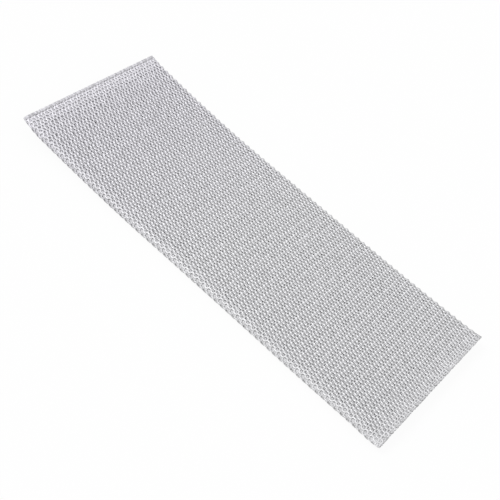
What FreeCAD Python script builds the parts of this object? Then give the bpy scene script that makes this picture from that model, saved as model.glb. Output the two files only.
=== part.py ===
# Frameless grease filter of a cooker hood: one web of knitted aluminium mesh,
# folded over along both long edges, pressed flat at both short ends and bowed a little.
import FreeCAD
import Part

import math
import os

# Overall size, in millimetres: X along the pad, Y from the near to the far long edge, Z up
LENGTH = 450.0
WIDTH = 180.0
THICKNESS = 9.0

# Rounded folds along the long edges, and how far each edge is drawn in at mid length
FOLD_DEPTH = 4.0
FOLD_STEPS = 4
NEAR_WAIST = 2.0
FAR_WAIST = 0.8

# Short ends pressed down to a thin hem
HEM_THICKNESS = 2.6
HEM_TAPER = 24.0
HEM_RIDGE_DEPTH = 1.6

# Both ends of the pad curl up from the surface it lies on
LEFT_LIFT = 10.0
LEFT_BEND = 160.0
RIGHT_LIFT = 3.2
RIGHT_BEND = 116.0
BEND_EASE = 1.7

# Knitted courses: zigzag ridges along X that sway once per loop, and less at the folds
COURSE_PITCH = 9.7
LOOP_PITCH = 18.75
LOOP_SWAY = 5.0
EDGE_SWAY = 2.0
RIDGE_DEPTH = 2.6

# The underside is pressed flat where the pad lies
REST_PRESS = 0.3

# Open eyes between the loops, on every third loop of a course and clear of the hems
EYE_LENGTH = 7.0
EYE_WIDTH = 3.6
EYE_STEP = 3

# Corners closer to one plane than this make a single flat face
FLATNESS = 1e-6

loops = round(LENGTH / LOOP_PITCH)
stations = 2 * loops
station_pitch = LENGTH / stations
half_section = (WIDTH - EDGE_SWAY) / 2

# The ridges fill the width between the two folds, where the folds come closest
near_field = -half_section + NEAR_WAIST + FOLD_DEPTH
far_field = half_section - FAR_WAIST - FOLD_DEPTH
courses = round((far_field - near_field) / COURSE_PITCH)
course_pitch = (far_field - near_field) / courses
valleys = [near_field + (k + 0.5) * course_pitch for k in range(courses)]
crests = [near_field + k * course_pitch for k in range(1, courses)]


def station_x(index):
    return -LENGTH / 2 + index * station_pitch


def side_of_loop(index):
    return 1 if index % 2 else -1


def end_lift(depth, bend, lift):
    """Height of a curled end at a depth into its bend."""
    return lift * max(depth / bend, 0.0) ** BEND_EASE


def top_height(x):
    left = end_lift(LEFT_BEND - (LENGTH / 2 + x), LEFT_BEND, LEFT_LIFT)
    right = end_lift(RIGHT_BEND - (LENGTH / 2 - x), RIGHT_BEND, RIGHT_LIFT)
    return THICKNESS + left + right


def from_hem(x, hem_size, full_size):
    """A size that eases from the pressed ends to the full pad."""
    inset = min((LENGTH / 2 - abs(x)) / HEM_TAPER, 1.0)
    return hem_size + (full_size - hem_size) * math.sin(inset * math.pi / 2)


def fold(edge, side, top, bottom):
    """Points round a long edge, from the upper face down to the lower one."""
    middle = (top + bottom) / 2
    reach = (top - bottom) / 2
    points = []
    for step in range(FOLD_STEPS + 1):
        angle = math.pi / 2 - math.pi * step / FOLD_STEPS
        y = edge - side * FOLD_DEPTH * (1 - math.cos(angle))
        points.append((y, middle + reach * math.sin(angle)))
    return points


def outline(index):
    """Corners of the pad's closed section at one station."""
    x = station_x(index)
    top = top_height(x)
    bottom = top - from_hem(x, HEM_THICKNESS, THICKNESS + REST_PRESS)
    depth = from_hem(x, HEM_RIDGE_DEPTH, RIDGE_DEPTH)
    field_sway = side_of_loop(index) * LOOP_SWAY / 2
    edge_sway = side_of_loop(index) * EDGE_SWAY / 2
    waist = max(1 - (x / (LENGTH / 2 - station_pitch)) ** 2, 0.0)
    near_edge = -half_section + NEAR_WAIST * waist + edge_sway
    far_edge = half_section - FAR_WAIST * waist + edge_sway
    upper = [(y + field_sway, top - depth) for y in valleys] + [(y + field_sway, top) for y in crests]
    lower = [(y + field_sway, bottom) for y in valleys] + [(y + field_sway, bottom + depth) for y in crests]
    corners = sorted(upper) + fold(far_edge, 1, top, bottom)
    corners += sorted(lower, reverse=True) + fold(near_edge, -1, top, bottom)[::-1]
    return [FreeCAD.Vector(x, y, z) for y, z in corners]


def flat_face(corners):
    return Part.Face(Part.makePolygon(corners + corners[:1]))


def patch(a, b, c, d):
    """One flat face on four corners, or two where they are twisted."""
    normal = (b - a).cross(d - a).normalize()
    if abs((c - a).dot(normal)) < FLATNESS:
        return [flat_face([a, b, c, d])]
    return [flat_face([a, b, c]), flat_face([a, c, d])]


def web():
    """Solid through the outlines of all stations."""
    outlines = [outline(index) for index in range(stations + 1)]
    faces = [flat_face(outlines[0]), flat_face(outlines[-1])]
    for here, there in zip(outlines, outlines[1:]):
        for k in range(len(here)):
            faces += patch(here[k - 1], here[k], there[k], there[k - 1])
    shell = Part.makeShell(faces)
    shell.sewShape()
    return Part.makeSolid(shell)


def eye(index, valley):
    """Prism of one open eye, kite shaped along the bend of its course."""
    x = station_x(index)
    y = valley + side_of_loop(index) * LOOP_SWAY / 2
    half = EYE_LENGTH / 2
    drop = side_of_loop(index) * LOOP_SWAY * half / station_pitch
    corners = [
        FreeCAD.Vector(x - half, y - drop, 0),
        FreeCAD.Vector(x, y - (drop + EYE_WIDTH) / 2, 0),
        FreeCAD.Vector(x + half, y - drop, 0),
        FreeCAD.Vector(x, y - (drop - EYE_WIDTH) / 2, 0),
    ]
    return flat_face(corners).extrude(FreeCAD.Vector(0, 0, THICKNESS + LEFT_LIFT + RIGHT_LIFT))


def eyes():
    prisms = []
    for row, valley in enumerate(valleys):
        for index in range(1, stations, 2):
            clear_of_hem = LENGTH / 2 - abs(station_x(index)) > HEM_TAPER + LOOP_PITCH / 2
            if clear_of_hem and (index // 2 + row) % EYE_STEP == 0:
                prisms.append(eye(index, valley))
    return prisms


def rest_press():
    """Block under the surface that the pad lies on."""
    corner = FreeCAD.Vector(-LENGTH, -WIDTH, -THICKNESS)
    return Part.makeBox(2 * LENGTH, 2 * WIDTH, THICKNESS, corner)


def mesh_pad():
    return web().cut(Part.makeCompound(eyes() + [rest_press()]))


os.makedirs("parts", exist_ok=True)
mesh_pad().exportStep("parts/mesh_pad.step")
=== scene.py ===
import math

import bpy
import numpy as np
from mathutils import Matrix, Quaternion, Vector


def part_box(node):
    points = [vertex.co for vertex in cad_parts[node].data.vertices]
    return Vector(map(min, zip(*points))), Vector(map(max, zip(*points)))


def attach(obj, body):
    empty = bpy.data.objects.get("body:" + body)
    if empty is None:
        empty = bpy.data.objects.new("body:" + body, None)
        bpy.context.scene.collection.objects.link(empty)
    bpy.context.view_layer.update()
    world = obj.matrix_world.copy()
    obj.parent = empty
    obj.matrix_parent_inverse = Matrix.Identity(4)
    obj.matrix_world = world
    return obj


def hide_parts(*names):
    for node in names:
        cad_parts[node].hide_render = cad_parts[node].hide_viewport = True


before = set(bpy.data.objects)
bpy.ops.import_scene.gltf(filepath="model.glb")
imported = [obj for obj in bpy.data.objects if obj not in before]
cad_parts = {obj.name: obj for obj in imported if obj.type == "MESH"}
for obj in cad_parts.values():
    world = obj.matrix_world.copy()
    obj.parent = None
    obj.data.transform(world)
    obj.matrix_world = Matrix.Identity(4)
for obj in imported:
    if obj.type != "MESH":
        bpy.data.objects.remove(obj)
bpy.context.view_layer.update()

# The pad's own sizes, in metres; its length, width and height come from the pad in model.glb
pad_low, pad_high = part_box("mesh_pad")
LENGTH = pad_high.x - pad_low.x
WIDTH = pad_high.y - pad_low.y
THICKNESS = 0.009
FOLD_DEPTH = 0.004
NEAR_WAIST = 0.002
FAR_WAIST = 0.0004
NEAR_INSET = 0.0001
FAR_INSET = 0.0006

# Short ends pressed to a thin hem, the curl of both ends and the corner that hangs down
HEM_THICKNESS = 0.0026
HEM_TAPER = 0.024
HEM_RELIEF = 0.45
LEFT_LIFT = pad_high.z - THICKNESS
LEFT_BEND = 0.160
RIGHT_LIFT = 0.0032
RIGHT_BEND = 0.116
BEND_EASE = 1.7
CORNER_DROOP = 0.0037
DROOP_ALONG = 0.017
DROOP_ACROSS = 0.015

# The knit: loops along the pad, courses across it, and the shape of one loop
LOOP_PITCH = 0.0071
COURSE_PITCH = 0.0041
LOOP_REACH = 0.00296
LOOP_BULGE = 0.0011
LOOP_RELIEF = 0.0004
LOOP_LEAN = 0.0004
STRAND_WIDTH = 0.0018
STRAND_THICKNESS = 0.0007
CROWN_SPREAD = 0.3
LAYER_GAP = 0.0009
INNER_SHIFT = 0.0006
INNER_TURN = 2.9
CORE_INSET = 0.001

# How uneven the knit is: slow waves and quick kinks, with their rates in radians per metre
SEED = 11
WAVES = 9
SLOW_RATES = (40, 220)
QUICK_RATES = (350, 1100)
WANDER = 0.00004
KINK = 0.00005
LEFT_KINK = 3.0
LEFT_KINK_REACH = 0.05

# Fineness: points along a loop, sides of a strand, points round the deeper turns and the end bands
TOP_PIECES = 3
TOP_POINTS = 12
TOP_SIDES = 6
HIDDEN_POINTS = 8
UNDER_SIDES = 4
INNER_SIDES = 3
CORE_FLAT_POINTS = 40
CORE_FOLD_POINTS = 16
BAND_POINTS = 480
BAND_STEPS = 9

# Where the web is pressed flat: along the near fold, at two opposite corners and at the short ends
NEAR_PRESS = 0.95
NEAR_BAND = 0.013
CORNER_PATCH = 0.011
LEFT_PRESS = 1.0
LEFT_FADE = 0.018
RIGHT_PRESS = 0.8
RIGHT_FADE = 0.0115
PRESSED_FLAT = 0.75
PRESSED_RISE = 0.0008
CORE_RISE = 0.90

# Pressed band along the short ends, with its ragged edge, and the open loops on the far fold
LEFT_BAND = 0.0030
RIGHT_BAND = 0.0009
LEFT_RIM = 0.0034
RIGHT_RIM = 0.0009
RIGHT_TOOTH = 0.0016
BAND_INSET = 0.0005
BAND_ROOT = 0.25
BAND_RAGGED = 0.0003
RAGGED_WAVES = ((410, 0.3), (970, 1.9), (1730, 4.0), (3300, 2.2))
BAND_CORNER = 0.0080
BAND_CORNER_REACH = 0.008
BAND_LIP = ((0.0002, 0.35), (0.0001, 0.7), (0.0001, 1.0))
LEFT_RIPPLE = 0.00025
RIGHT_RIPPLE = 0.00055
RIPPLE_SINK = 1.2
LEFT_NOTCH = 0.0002
RIGHT_NOTCH = 0.0005
EDGE_LOOP = 0.0016
EDGE_PINCH = 0.00045
EDGE_ROWS = (0.14, 0.27, 0.40)

# Polish of the strands, from 0 to 1, which also carries painted light: painted highlights on the
# crowns of the loops and on one leg of each loop, painted shade in the recesses, on the sinker
# arcs, on the far fold and on each strand's underside, and painted light on the pressed web by the
# way it faces
CROWN_EASE = 5.0
SINKER_SHADE = 0.16
LEAN_HIGHLIGHT = 0.25
FAR_FOLD_SHADE = 0.5
BELLY_SHADE = 0.25
INNER_POLISH = 0.90
CORE_POLISH = 0.90
CORE_PRESSED = 0.6
LEFT_SHINE = 0.53
RIGHT_SHINE = 0.50
SIDE_PAINTED_LIGHT = 0.80
SIDE_LEVEL = 0.20
SIDE_SPREAD = 0.60
LEFT_POLISH = 0.28
RIGHT_POLISH = 0.45
LIP_POLISH = 0.6
EDGE_POLISH = 0.3

# The aluminium: tone and roughness by polish, with painted highlight and shade between the dull
# and polished tones, a painted cool light on the left end, clouds, grain and drawing marks
DULL_AND_SHADED = (0.485, 0.485, 0.491, 1)
POLISHED_AND_LIT = (0.950, 0.950, 0.968, 1)
COOL_LIGHT_END = (0.982, 0.970, 1.0, 1)
PLAIN_END = (1, 1, 1, 1)
DULL_ROUGHNESS = 0.75
POLISHED_ROUGHNESS = 0.60
CLOUD_SCALE = 220
CLOUD_DETAIL = 3
CLOUD_RANGE = (0.3, 0.7)
CLOUD_POLISH = 0.12
GRAIN_SCALE = 900
GRAIN_DETAIL = 2
GRAIN_ROUGHNESS = 0.09
MARK_SCALE = 4000
MARK_DETAIL = 2
MARK_STRENGTH = 0.15
MARK_DEPTH = 0.0001

# Studio: white floor that keeps a faint shadow, even light with one soft lamp, and the camera
FLOOR_SIZE = 6
FLOOR_DROP = 0.0002
FLOOR_COLOUR = (0.64, 0.64, 0.64, 1)
FLOOR_ROUGHNESS = 0.9
FLOOR_GLOW = 0.94
SKY_COLOUR = (1, 1, 1, 1)
SKY_STRENGTH = 1.0
KEY_TOWARDS = Vector((-0.6, -0.3, 0.7))
KEY_ANGLE = math.radians(25)
KEY_STRENGTH = 1.8
CAMERA_PLACE = Vector((0.2527, -0.6179, 0.6870))
CAMERA_TARGET = Vector((0.0144, -0.0192, 0.009))
CAMERA_ROLL = math.radians(25.0)
CAMERA_LENS = 71.66
CAMERA_SENSOR = 36

loops = round(LENGTH / LOOP_PITCH)
rng = np.random.default_rng(SEED)


def random_waves(slowest, fastest):
    """Directions and starts of the waves by which the knit is uneven."""
    rates = rng.uniform(slowest, fastest, WAVES)
    headings = rng.uniform(0, math.pi, WAVES)
    starts = rng.uniform(0, 2 * math.pi, WAVES)
    return list(zip(rates * np.cos(headings), rates * np.sin(headings), starts))


slow_waves = random_waves(*SLOW_RATES)
quick_waves = random_waves(*QUICK_RATES)


def end_lift(depth, bend, lift):
    """Lift of a curled end at some depth into its bend."""
    return lift * np.maximum(depth / bend, 0.0) ** BEND_EASE


def top_height(x):
    """Height of the pad's top along its length."""
    left = end_lift(LEFT_BEND - (LENGTH / 2 + x), LEFT_BEND, LEFT_LIFT)
    right = end_lift(RIGHT_BEND - (LENGTH / 2 - x), RIGHT_BEND, RIGHT_LIFT)
    return THICKNESS + left + right


def corner_droop(x, y):
    """How far the near right corner hangs down."""
    along = (LENGTH / 2 - x) / DROOP_ALONG
    across = (WIDTH / 2 + y) / DROOP_ACROSS
    return CORNER_DROOP * np.exp(-(along ** 2) - across ** 2)


def from_hem(x, hem_size, full_size):
    """A size that grows from the hems to the full pad."""
    inset = np.clip((LENGTH / 2 - np.abs(x)) / HEM_TAPER, 0.0, 1.0)
    return hem_size + (full_size - hem_size) * np.sin(inset * math.pi / 2)


def waist(x):
    """Share of the waist that the long edges have along the pad."""
    return np.maximum(1 - (2 * x / LENGTH) ** 2, 0.0)


def wander(x, s, turn):
    """Unevenness of the knit over the web, strongest at the left end."""
    slow, quick = [
        sum(np.sin(along * x + across * s + start * turn) for along, across, start in waves)
        for waves in (slow_waves, quick_waves)
    ]
    kink = KINK * (1 + LEFT_KINK * np.exp(-(x + LENGTH / 2) / LEFT_KINK_REACH))
    return WANDER * slow + kink * quick


def pressed(x, y):
    """How flat the web is pressed, from 0 to 1."""
    from_fold = y + WIDTH / 2 - NEAR_WAIST * waist(x)
    fold = NEAR_PRESS * np.clip(1 - from_fold / NEAR_BAND, 0.0, 1.0)
    left = LEFT_PRESS * (1 - (1 - np.exp(-(LENGTH / 2 + x) / LEFT_FADE)) ** 2)
    right = RIGHT_PRESS * np.exp(-(LENGTH / 2 - x) / RIGHT_FADE)
    loose = (1 - fold) * (1 - left) * (1 - right)
    for side in (-1, 1):
        corner = np.hypot(LENGTH / 2 - side * x, WIDTH / 2 + side * y)
        loose = loose * (1 - np.exp(-((corner / CORNER_PATCH) ** 2)))
    return 1 - loose


def pressed_polish_and_light(x, outward):
    """Polish of the pressed web with painted light: brighter the more it faces up, a painted light
    band on the fold's side, and painted shade underneath.
    """
    flat = LEFT_SHINE + (RIGHT_SHINE - LEFT_SHINE) * (x / LENGTH + 0.5)
    level = outward[..., 2]
    side = np.maximum(1 - np.abs(level - SIDE_LEVEL) / SIDE_SPREAD, 0.0)
    return flat * np.maximum(level, 0.0) ** 2 + SIDE_PAINTED_LIGHT * side


class Section:
    """The pad's closed section, measured round from the near fold over the top."""

    def __init__(self, inset):
        self.inset = inset
        self.flat = WIDTH - NEAR_INSET - FAR_INSET - 2 * FOLD_DEPTH
        self.arc = math.pi * (FOLD_DEPTH + THICKNESS / 2 - 2 * inset - STRAND_THICKNESS) / 2
        self.girth = 2 * (self.flat + self.arc)

    def place(self, x, s, out):
        """Points and outward directions at x along the pad, s round it and out from the web."""
        thick = from_hem(x, HEM_THICKNESS, THICKNESS)
        middle = top_height(x) - thick / 2
        cover = STRAND_THICKNESS / 2 + self.inset * from_hem(x, HEM_RELIEF, 1.0)
        near = -WIDTH / 2 + NEAR_INSET + NEAR_WAIST * waist(x) + FOLD_DEPTH
        far = WIDTH / 2 - from_hem(x, 0.0, FAR_INSET) - FAR_WAIST * waist(x) - FOLD_DEPTH
        s = np.mod(s, self.girth)
        under = s - self.flat - self.arc
        far_turn = np.clip((s - self.flat) / self.arc, 0, 1)
        near_turn = np.clip((under - self.flat) / self.arc, 0, 1)
        share = np.clip(s / self.flat, 0, 1) - np.clip(under / self.flat, 0, 1)
        normal_y = np.sin((far_turn + near_turn) * math.pi)
        normal_z = np.cos((far_turn + near_turn) * math.pi)
        y = near + (far - near) * share + normal_y * (FOLD_DEPTH - cover + out)
        z = middle + normal_z * (thick / 2 - cover + out) - corner_droop(x, y)
        points = np.stack([x, y, z], axis=-1)
        return points, np.stack([np.zeros_like(y), normal_y, normal_z], axis=-1)


def loop_angles(points_per_loop):
    """Angle along a course, one full turn for each loop."""
    return np.linspace(0.0, 2 * math.pi * loops, loops * points_per_loop + 1)


def along_pad(angle):
    """Place along the pad of an angle along a course."""
    return LENGTH * (angle / (2 * math.pi * loops) - 0.5)


def course_lines(section, starts, points_per_loop, shift):
    """Centre lines of the courses, the outward direction along them and their polish with painted
    highlight and shade.
    """
    start, plain = np.meshgrid(starts, loop_angles(points_per_loop), indexing="ij")
    angle = plain + shift
    lean = np.sin(angle)
    x = along_pad(plain) + LOOP_BULGE * np.sin(2 * angle)
    s = start - LOOP_REACH * np.cos(angle)
    x, s = x + wander(x, s, 1.0), s + wander(x, s, 2.0)
    low = LEFT_RIM - LENGTH / 2
    high = LENGTH / 2 - RIGHT_RIM - RIGHT_TOOTH * (np.arange(len(start)) % 2)[:, None]
    rim = (x < low) | (x > high)
    x = np.clip(x, low, high)
    press = pressed(x, section.place(x, s, 0.0)[0][..., 1])
    relief = (LOOP_RELIEF * np.cos(2 * angle) + LOOP_LEAN * lean) * (1 - PRESSED_FLAT * press)
    out = from_hem(x, HEM_RELIEF, 1.0) * (relief + PRESSED_RISE * press)
    lines, outward = section.place(x, s, out)
    # Painted highlights on the crowns of the loops and on one leg of each loop, painted shade on
    # the sinker arcs and in the recesses between
    polish_and_painted_light = (0.5 + 0.5 * np.cos(2 * angle)) ** CROWN_EASE * (1 - SINKER_SHADE * (1 + np.cos(angle)))
    polish_and_painted_light = np.maximum(polish_and_painted_light, LEAN_HIGHLIGHT * np.maximum(lean, 0.0))
    # Painted shade on the strands where they face the far side of the fold
    polish_and_painted_light = polish_and_painted_light * (1 - FAR_FOLD_SHADE * np.maximum(outward[..., 1], 0.0))
    # Where pressed, the strands take the pressed web's polish and painted light
    polish_and_painted_light = polish_and_painted_light + (pressed_polish_and_light(x, outward) - polish_and_painted_light) * press
    return lines, outward, np.where(rim, 0.0, polish_and_painted_light)


def edge_loops(section):
    """Rows of loops that stand out along the far fold."""
    row, angle = np.meshgrid(EDGE_ROWS, loop_angles(TOP_POINTS), indexing="ij")
    x = along_pad(angle) - EDGE_PINCH * np.sin(2 * angle)
    x = np.clip(x, LEFT_RIM - LENGTH / 2, LENGTH / 2 - RIGHT_RIM)
    rise = from_hem(x, 0.0, EDGE_LOOP) * (0.5 - 0.5 * np.cos(angle))
    s = section.flat + section.arc * row
    lines, outward = section.place(x, s, rise - STRAND_THICKNESS / 2)
    around = np.stack([np.zeros_like(x), outward[..., 2], -outward[..., 1]], axis=-1)
    return lines, around, np.full_like(x, EDGE_POLISH)


def mesh_piece(name, verts, quads, polish_and_painted_light):
    """A piece of the pad from its points, four-sided faces and polish with painted light."""
    mesh = bpy.data.meshes.new(name)
    mesh.vertices.add(verts.size // 3)
    mesh.vertices.foreach_set("co", verts.reshape(-1))
    mesh.loops.add(quads.size)
    mesh.loops.foreach_set("vertex_index", quads.reshape(-1))
    mesh.polygons.add(quads.size // 4)
    mesh.polygons.foreach_set("loop_start", np.arange(0, quads.size, 4))
    mesh.polygons.foreach_set("use_smooth", np.ones(quads.size // 4, dtype=bool))
    mesh.attributes.new("polish_and_painted_light", "FLOAT", "POINT").data.foreach_set("value", polish_and_painted_light.reshape(-1))
    mesh.update()
    mesh.validate()
    piece = bpy.data.objects.new(name, mesh)
    bpy.context.collection.objects.link(piece)
    piece.data.materials.append(metal)
    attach(piece, "root")
    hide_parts("mesh_pad")


def strands(name, lines, outward, polish_and_painted_light, sides):
    """Flattened strands along centre lines."""
    ahead = np.gradient(lines, axis=1)
    ahead /= np.linalg.norm(ahead, axis=2, keepdims=True)
    side = np.cross(ahead, outward)
    side /= np.linalg.norm(side, axis=2, keepdims=True)
    up = np.cross(side, ahead)
    turn = 2 * math.pi * (np.arange(sides) + 0.5) / sides + math.pi / 2
    spread = STRAND_WIDTH / 2 * (1 - CROWN_SPREAD + 2 * CROWN_SPREAD * polish_and_painted_light)
    sideways = side[:, :, None, :] * (spread[:, :, None] * np.cos(turn))[..., None]
    upwards = up[:, :, None, :] * (STRAND_THICKNESS / 2 * np.sin(turn))[:, None]
    verts = lines[:, :, None, :] + sideways + upwards
    # Painted shade: each strand is darker on its underside than on its top
    shine = polish_and_painted_light[:, :, None] * (1 - BELLY_SHADE + BELLY_SHADE * np.sin(turn))
    index = np.arange(shine.size).reshape(shine.shape)
    around = np.roll(index, -1, axis=2)
    quads = np.stack([index[:, :-1], index[:, 1:], around[:, 1:], around[:, :-1]], axis=-1)
    mesh_piece(name, verts, quads, shine)


def skin(name, rings, polish_and_painted_light):
    """Closed rings of points joined into a skin."""
    index = np.arange(polish_and_painted_light.size).reshape(polish_and_painted_light.shape)
    around = np.roll(index, -1, axis=1)
    quads = np.stack([index[:-1], around[:-1], around[1:], index[1:]], axis=-1)
    mesh_piece(name, rings, quads, polish_and_painted_light)


def core(name, inset):
    """Deeper turns of the web, seen only through the gaps."""
    section = Section(inset)
    end = LENGTH / 2 - CORE_INSET
    flat = np.linspace(0.0, section.flat, CORE_FLAT_POINTS, endpoint=False)
    fold = section.flat + np.linspace(0.0, section.arc, CORE_FOLD_POINTS, endpoint=False)
    over = np.concatenate([flat, fold])
    ring = np.concatenate([over, over + section.flat + section.arc])
    x, s = np.meshgrid(np.linspace(-end, end, 2 * loops + 1), ring, indexing="ij")
    rise = inset * from_hem(x, HEM_RELIEF, 1.0)
    press = pressed(x, section.place(x, s, rise)[0][..., 1])
    points, outward = section.place(x, s, CORE_RISE * press * rise)
    loose_polish = CORE_POLISH * (1 - press) ** 2
    # The pressed core takes a share of the same painted light as the pressed strands
    skin(name, points, loose_polish + CORE_PRESSED * pressed_polish_and_light(x, outward) * press)


def band(name, end, corner_side, plain_width, polish, ripple, notch):
    """Pressed band round one short end, wider at one corner."""
    section = Section(0.0)
    s = np.arange(BAND_POINTS) * section.girth / BAND_POINTS
    outline, _ = section.place(np.full(BAND_POINTS, end * LENGTH / 2), s, 0.0)
    from_corner = WIDTH / 2 - corner_side * outline[:, 1]
    ragged = sum(np.sin(s * rate + start) for rate, start in RAGGED_WAVES)
    corner_width = BAND_CORNER * np.exp(-from_corner / BAND_CORNER_REACH)
    width = plain_width + BAND_RAGGED * ragged + corner_width
    crease = np.sin(2 * math.pi * s / COURSE_PITCH + ragged)
    rings = []
    shine = []
    for step in np.linspace(0, 1, BAND_STEPS):
        risen = min(step / BAND_ROOT, 1.0)
        sunk = STRAND_THICKNESS * (1 - risen)
        out = STRAND_THICKNESS / 2 - ripple * (RIPPLE_SINK + crease) - sunk
        rings.append((LENGTH / 2 - BAND_INSET - width * (1 - step), out))
        shine.append(polish * (1 + crease) * risen)
    for inset, drop in BAND_LIP:
        out = (STRAND_THICKNESS - HEM_THICKNESS * drop) / 2
        rings.append((LENGTH / 2 - inset - notch * (1 + crease), out))
        shine.append(polish * LIP_POLISH * (1 + crease))
    points = [section.place(end * x, s, out)[0] for x, out in rings]
    skin(name, np.stack(points), np.stack(shine))


def feed(tree, socket, value):
    """Set a socket to a value, or link it to another socket."""
    if isinstance(value, bpy.types.NodeSocket):
        tree.links.new(value, socket)
    else:
        socket.default_value = value


def noise(tree, place, scale, detail):
    """Value of a noise texture at a place."""
    texture = tree.nodes.new("ShaderNodeTexNoise")
    texture.inputs["Scale"].default_value = scale
    texture.inputs["Detail"].default_value = detail
    tree.links.new(place, texture.inputs["Vector"])
    return texture.outputs["Fac"]


def map_range(tree, value, before, after):
    """A value brought from one range to another."""
    node = tree.nodes.new("ShaderNodeMapRange")
    for name, limit in zip(("From Min", "From Max", "To Min", "To Max"), (*before, *after)):
        node.inputs[name].default_value = limit
    tree.links.new(value, node.inputs["Value"])
    return node.outputs["Result"]


def combine(tree, operation, first, second, clamp):
    """Two values added or multiplied, kept from 0 to 1 where clamped."""
    node = tree.nodes.new("ShaderNodeMath")
    node.operation = operation
    node.use_clamp = clamp
    feed(tree, node.inputs[0], first)
    feed(tree, node.inputs[1], second)
    return node.outputs[0]


def mix_colours(tree, blend_type, amount, first, second):
    """Mix of two colours, whose sockets go by number."""
    node = tree.nodes.new("ShaderNodeMix")
    node.data_type = "RGBA"
    node.blend_type = blend_type
    feed(tree, node.inputs[0], amount)
    feed(tree, node.inputs[6], first)
    feed(tree, node.inputs[7], second)
    return node.outputs[2]


def aluminium():
    """Satin aluminium whose base colour carries polish with painted highlights and shade, a
    painted cool light on the left end, uneven tone and fine drawing marks.
    """
    material = bpy.data.materials.new("aluminium_mesh")
    material.use_nodes = True
    tree = material.node_tree
    shader = tree.nodes["Principled BSDF"]
    shader.inputs["Metallic"].default_value = 1.0
    place = tree.nodes.new("ShaderNodeTexCoord").outputs["Object"]
    polish_and_painted_light = tree.nodes.new("ShaderNodeAttribute")
    polish_and_painted_light.attribute_name = "polish_and_painted_light"
    cloud = noise(tree, place, CLOUD_SCALE, CLOUD_DETAIL)
    level = map_range(tree, cloud, CLOUD_RANGE, (-CLOUD_POLISH, CLOUD_POLISH))
    shine = combine(tree, "ADD", polish_and_painted_light.outputs["Fac"], level, True)
    # Painted light: the base colour runs from the dull, shaded tone to the polished, lit tone
    tone = mix_colours(tree, "MIX", shine, DULL_AND_SHADED, POLISHED_AND_LIT)
    axes = tree.nodes.new("ShaderNodeSeparateXYZ")
    tree.links.new(place, axes.inputs[0])
    # Painted cool light: the left end tinted bluish, fading to plain at the middle
    along = map_range(tree, axes.outputs["X"], (-LENGTH / 2, 0.0), (0.0, 1.0))
    tint = mix_colours(tree, "MIX", along, COOL_LIGHT_END, PLAIN_END)
    tinted = mix_colours(tree, "MULTIPLY", 1.0, tone, tint)
    tree.links.new(tinted, shader.inputs["Base Color"])
    grain = noise(tree, place, GRAIN_SCALE, GRAIN_DETAIL)
    spread = map_range(tree, grain, (0.0, 1.0), (-GRAIN_ROUGHNESS, GRAIN_ROUGHNESS))
    rough = map_range(tree, shine, (0.0, 1.0), (DULL_ROUGHNESS, POLISHED_ROUGHNESS))
    uneven = combine(tree, "ADD", rough, spread, False)
    tree.links.new(uneven, shader.inputs["Roughness"])
    bump = tree.nodes.new("ShaderNodeBump")
    bump.inputs["Strength"].default_value = MARK_STRENGTH
    bump.inputs["Distance"].default_value = MARK_DEPTH
    tree.links.new(noise(tree, place, MARK_SCALE, MARK_DETAIL), bump.inputs["Height"])
    tree.links.new(bump.outputs["Normal"], shader.inputs["Normal"])
    return material


# Courses over the top, underneath and along the far fold
metal = aluminium()
section = Section(LOOP_RELIEF + LOOP_LEAN)
courses = round(section.girth / COURSE_PITCH)
starts = (np.arange(courses) + 0.5) * section.girth / courses - section.arc
over_top = starts < section.flat + section.arc
for number, group in enumerate(np.array_split(starts[over_top], TOP_PIECES)):
    strands("knit_top_%d" % number, *course_lines(section, group, TOP_POINTS, 0.0), TOP_SIDES)
strands("knit_under", *course_lines(section, starts[~over_top], HIDDEN_POINTS, 0.0), UNDER_SIDES)
strands("edge_loops", *edge_loops(section), TOP_SIDES)

# Second layer, deeper turns and the bands of the short ends
inner = Section(section.inset + LAYER_GAP)
inner_starts = starts[over_top] + INNER_SHIFT
lines, outward, polish_and_painted_light = course_lines(inner, inner_starts, HIDDEN_POINTS, INNER_TURN)
strands("knit_inner", lines, outward, np.full_like(polish_and_painted_light, INNER_POLISH), INNER_SIDES)
core("inner_turns", inner.inset + LOOP_RELIEF + STRAND_THICKNESS)
band("left_band", -1, 1, LEFT_BAND, LEFT_POLISH, LEFT_RIPPLE, LEFT_NOTCH)
band("right_band", 1, -1, RIGHT_BAND, RIGHT_POLISH, RIGHT_RIPPLE, RIGHT_NOTCH)

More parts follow.
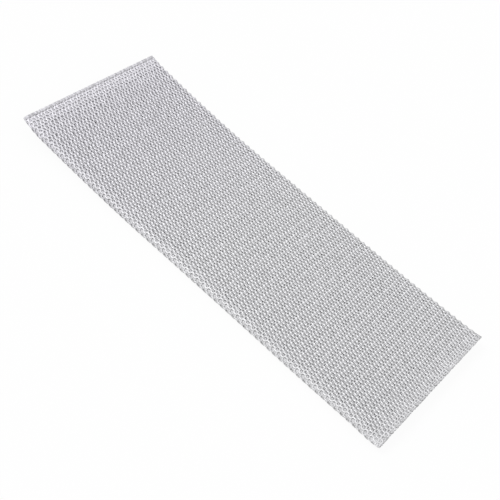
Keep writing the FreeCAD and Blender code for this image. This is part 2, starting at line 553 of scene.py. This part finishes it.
# Floor
bpy.ops.mesh.primitive_plane_add(size=FLOOR_SIZE, location=(0, 0, -FLOOR_DROP))
floor = bpy.context.object
floor.name = "floor"
floor_material = bpy.data.materials.new("floor")
floor_material.use_nodes = True
tree = floor_material.node_tree
paper = tree.nodes["Principled BSDF"]
paper.inputs["Base Color"].default_value = FLOOR_COLOUR
paper.inputs["Roughness"].default_value = FLOOR_ROUGHNESS
paper.inputs["Specular IOR Level"].default_value = 0.0
glow = tree.nodes.new("ShaderNodeEmission")
rays = tree.nodes.new("ShaderNodeLightPath")
seen = combine(tree, "ADD", rays.outputs["Is Camera Ray"], rays.outputs["Is Glossy Ray"], False)
seen_through = combine(tree, "ADD", seen, rays.outputs["Is Transmission Ray"], False)
blend = tree.nodes.new("ShaderNodeMixShader")
tree.links.new(combine(tree, "MULTIPLY", seen_through, FLOOR_GLOW, True), blend.inputs[0])
tree.links.new(paper.outputs[0], blend.inputs[1])
tree.links.new(glow.outputs[0], blend.inputs[2])
tree.links.new(blend.outputs[0], tree.nodes["Material Output"].inputs[0])
floor.data.materials.append(floor_material)

# Even studio light and one soft lamp
world = bpy.data.worlds.new("studio")
bpy.context.scene.world = world
world.use_nodes = True
sky = world.node_tree.nodes["Background"]
sky.inputs[0].default_value = SKY_COLOUR
sky.inputs[1].default_value = SKY_STRENGTH
lamp = bpy.data.lights.new("key", "SUN")
lamp.angle = KEY_ANGLE
lamp.energy = KEY_STRENGTH
holder = bpy.data.objects.new("key", lamp)
holder.rotation_mode = "QUATERNION"
holder.rotation_quaternion = KEY_TOWARDS.to_track_quat("Z", "Y")
bpy.context.collection.objects.link(holder)

# Camera
camera_data = bpy.data.cameras.new("camera")
camera_data.sensor_width = CAMERA_SENSOR
camera_data.lens = CAMERA_LENS
camera = bpy.data.objects.new("camera", camera_data)
camera.location = CAMERA_PLACE
camera.rotation_mode = "QUATERNION"
look = (CAMERA_TARGET - CAMERA_PLACE).to_track_quat("-Z", "Y")
camera.rotation_quaternion = look @ Quaternion((0, 0, 1), CAMERA_ROLL)
bpy.context.collection.objects.link(camera)
bpy.context.scene.camera = camera

bpy.context.scene.view_settings.view_transform = "Standard"
